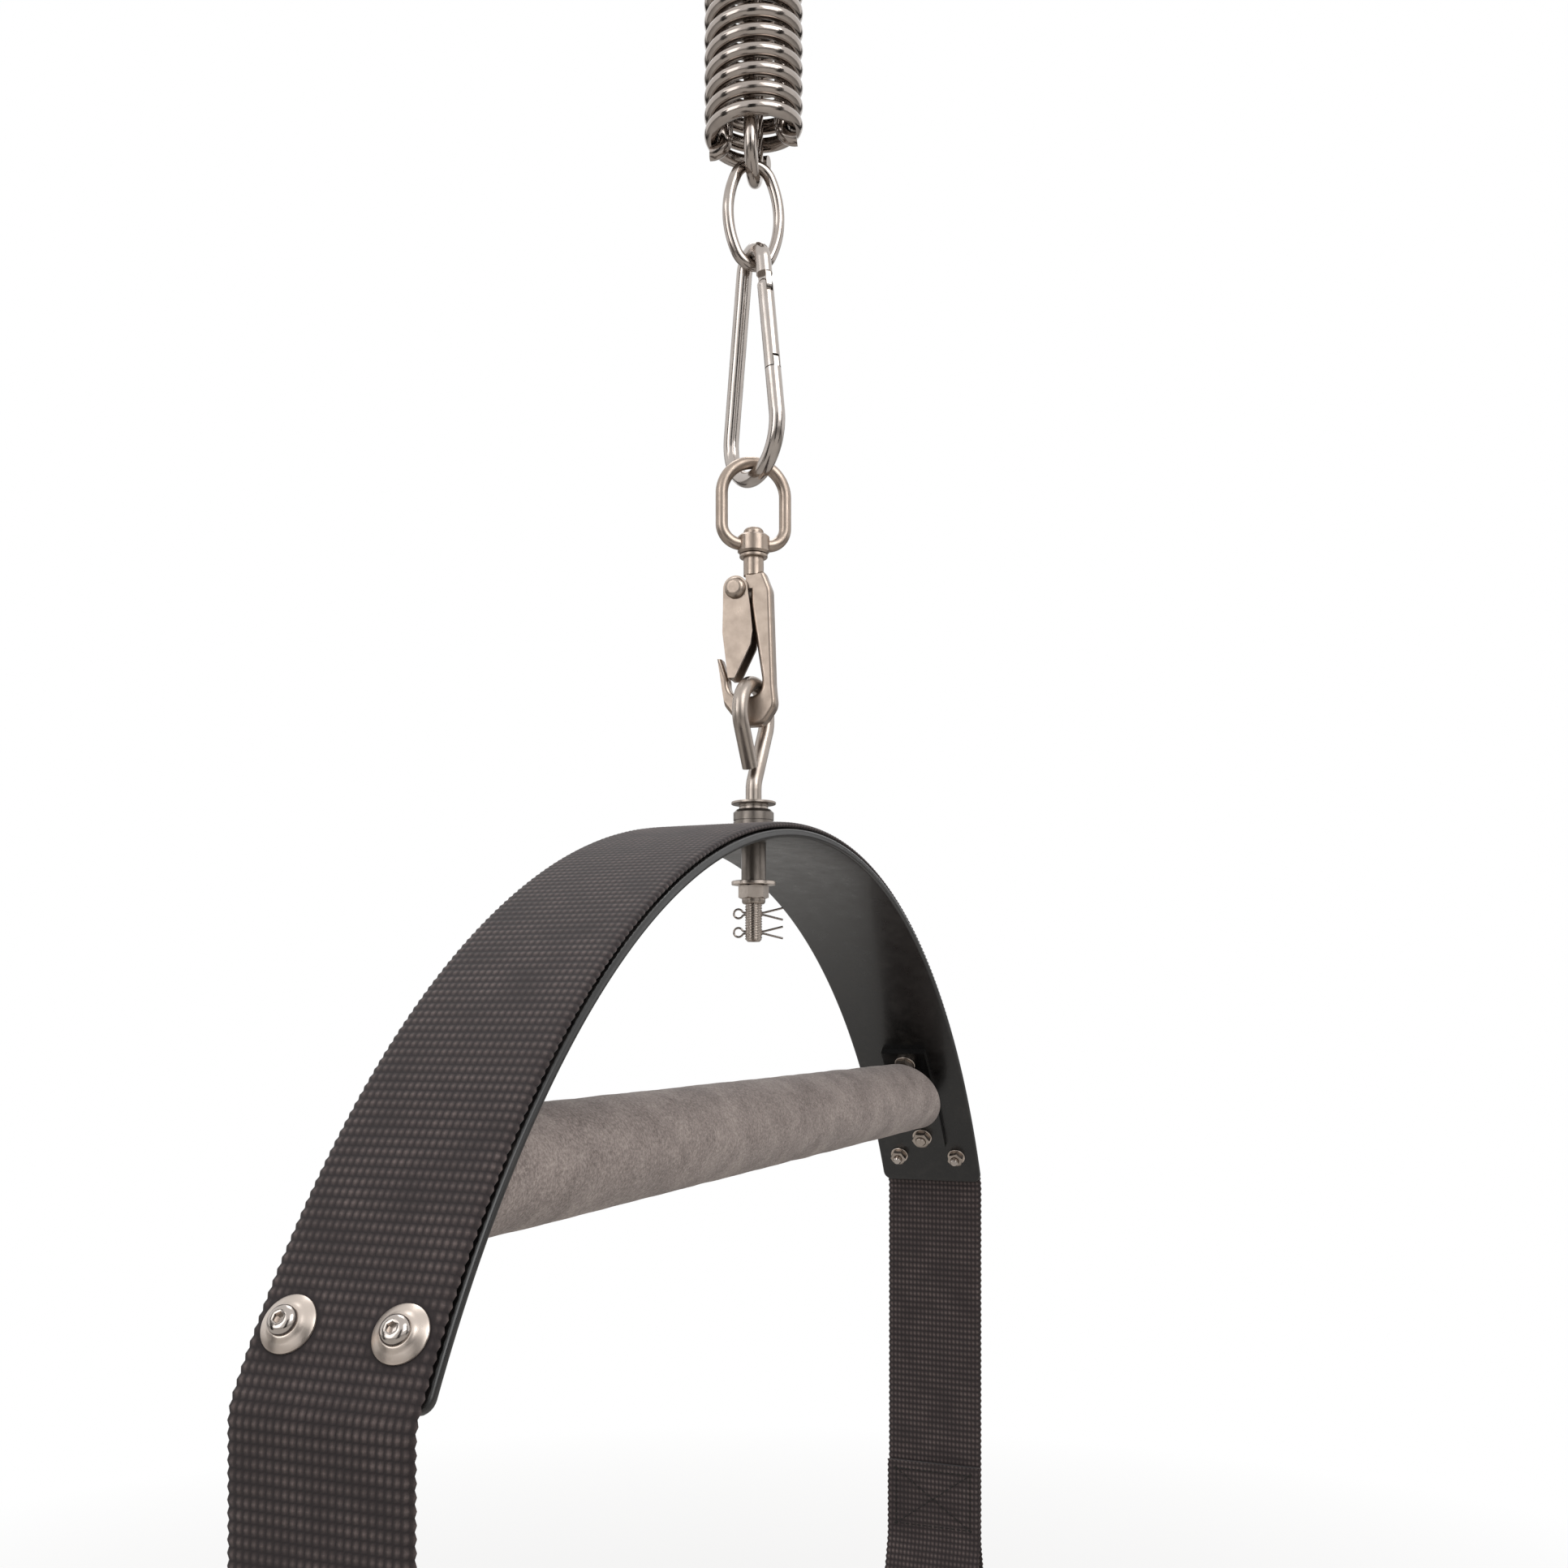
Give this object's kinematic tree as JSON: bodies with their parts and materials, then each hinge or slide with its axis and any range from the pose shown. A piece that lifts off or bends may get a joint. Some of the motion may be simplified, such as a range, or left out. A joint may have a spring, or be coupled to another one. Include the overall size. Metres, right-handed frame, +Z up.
{
  "type": "swing spreader hanger",
  "caption": "Swing hanger: a drawbar spring, carabiner and swivel snap hook carry a turning arched spreader with a padded grab bar and webbing straps ending in sewn loops.",
  "frame": {"origin": "centre of the round top of the upper drawbar, the loop that the part hangs from", "axes": "+Z up along the hanging line; the arch and grab bar lie along X; Y runs across the webbing"},
  "size_m": [0.5354, 0.052, 0.7587],
  "materials": {
    "zinc_steel": "zinc plated, bright",
    "polished_steel": "polished and plated",
    "satin_nickel": "satin nickel plate",
    "bolt_steel": "zinc plated, satin",
    "bush_steel": "turned",
    "black_enamel": "gloss powder coat",
    "black_webbing": "woven polyester, matt",
    "foam": "closed-cell foam, speckled"
  },
  "bodies": {
    "hanger": {"upper_drawbar": "zinc_steel", "spring_coil": "zinc_steel"},
    "drawbar": {"lower_drawbar": "zinc_steel"},
    "link": {"oval_link": "zinc_steel"},
    "carabiner": {"carabiner_body": "polished_steel"},
    "gate": {"carabiner_gate": "polished_steel", "carabiner_gate_pin": "polished_steel", "carabiner_gate_plunger": "polished_steel", "carabiner_gate_spring": "zinc_steel"},
    "swivel": {"swivel_bow": "polished_steel"},
    "hook": {"hook_body": "satin_nickel", "swivel_washer": "satin_nickel", "gate_rivet": "satin_nickel", "snap_gate_spring": "zinc_steel"},
    "lever": {"snap_gate": "satin_nickel"},
    "eye": {"eye_bolt": "bolt_steel", "head_washers": "bolt_steel", "thrust_washer": "bolt_steel", "locknut": "bolt_steel", "split_pins": "zinc_steel"},
    "frame": {"collar_bush": "bush_steel", "arch_strip": "black_enamel", "arch_webbing": "black_webbing", "cup_washers": "bolt_steel", "strap_bolts": "bolt_steel", "strap_washers": "bolt_steel", "strap_nuts": "bolt_steel", "bar_frame": "black_enamel", "foam_sleeve": "foam", "bar_screws": "bolt_steel", "bar_washers": "bolt_steel", "bar_nuts": "bolt_steel"},
    "left_strap": {"strap_left": "black_webbing"},
    "right_strap": {"strap_right": "black_webbing"}
  },
  "joints": [
    {"name": "drawbar_stretch", "type": "slide", "parent": "hanger", "child": "drawbar", "axis": [0, 0, -1], "range_m": [0, 0.016], "stiffness_N_per_m": 20000, "deforming": ["spring_coil"]},
    {"name": "link_swing", "type": "hinge", "parent": "drawbar", "child": "link", "pos_m": [0, 0, -0.1227], "axis": [0.9659, 0.2588, 0], "range_deg": [-20, 20]},
    {"name": "carabiner_swing", "type": "hinge", "parent": "link", "child": "carabiner", "pos_m": [0, 0, -0.15545], "axis": [0.6691, -0.7431, 0], "range_deg": [-20, 20]},
    {"name": "carabiner_gate_open", "type": "hinge", "parent": "carabiner", "child": "gate", "pos_m": [-0.00536, -0.00686, -0.1667], "axis": [0.788, -0.6157, 0], "range_deg": [0, 25], "stiffness_Nm_per_rad": 0.15, "springref_deg": -11.46},
    {"name": "swivel_swing", "type": "hinge", "parent": "carabiner", "child": "swivel", "pos_m": [0, 0, -0.235], "axis": [-0.6157, -0.788, 0], "range_deg": [-20, 20]},
    {"name": "hook_spin", "type": "hinge", "parent": "swivel", "child": "hook", "pos_m": [0, 0, -0.2601], "axis": [0, 0, 1], "continuous": true},
    {"name": "snap_gate_open", "type": "hinge", "parent": "hook", "child": "lever", "pos_m": [-0.00061, 0.00577, -0.27705], "axis": [-0.9945, -0.1045, 0], "range_deg": [0, 9], "stiffness_Nm_per_rad": 0.1, "springref_deg": -11.46},
    {"name": "eye_swing", "type": "hinge", "parent": "hook", "child": "eye", "pos_m": [0, 0, -0.32394], "axis": [-0.0698, -0.9976, 0], "range_deg": [-20, 20]},
    {"name": "frame_spin", "type": "hinge", "parent": "eye", "child": "frame", "pos_m": [0, 0, -0.37219], "axis": [0, 0, 1], "continuous": true},
    {"name": "strap_left_fold", "type": "hinge", "parent": "frame", "child": "left_strap", "pos_m": [-0.25935, 0, -0.5232], "axis": [0, 1, 0], "range_deg": [-55, 26]},
    {"name": "strap_right_fold", "type": "hinge", "parent": "frame", "child": "right_strap", "pos_m": [0.25935, 0, -0.5232], "axis": [0, 1, 0], "range_deg": [-26, 55]}
  ]
}
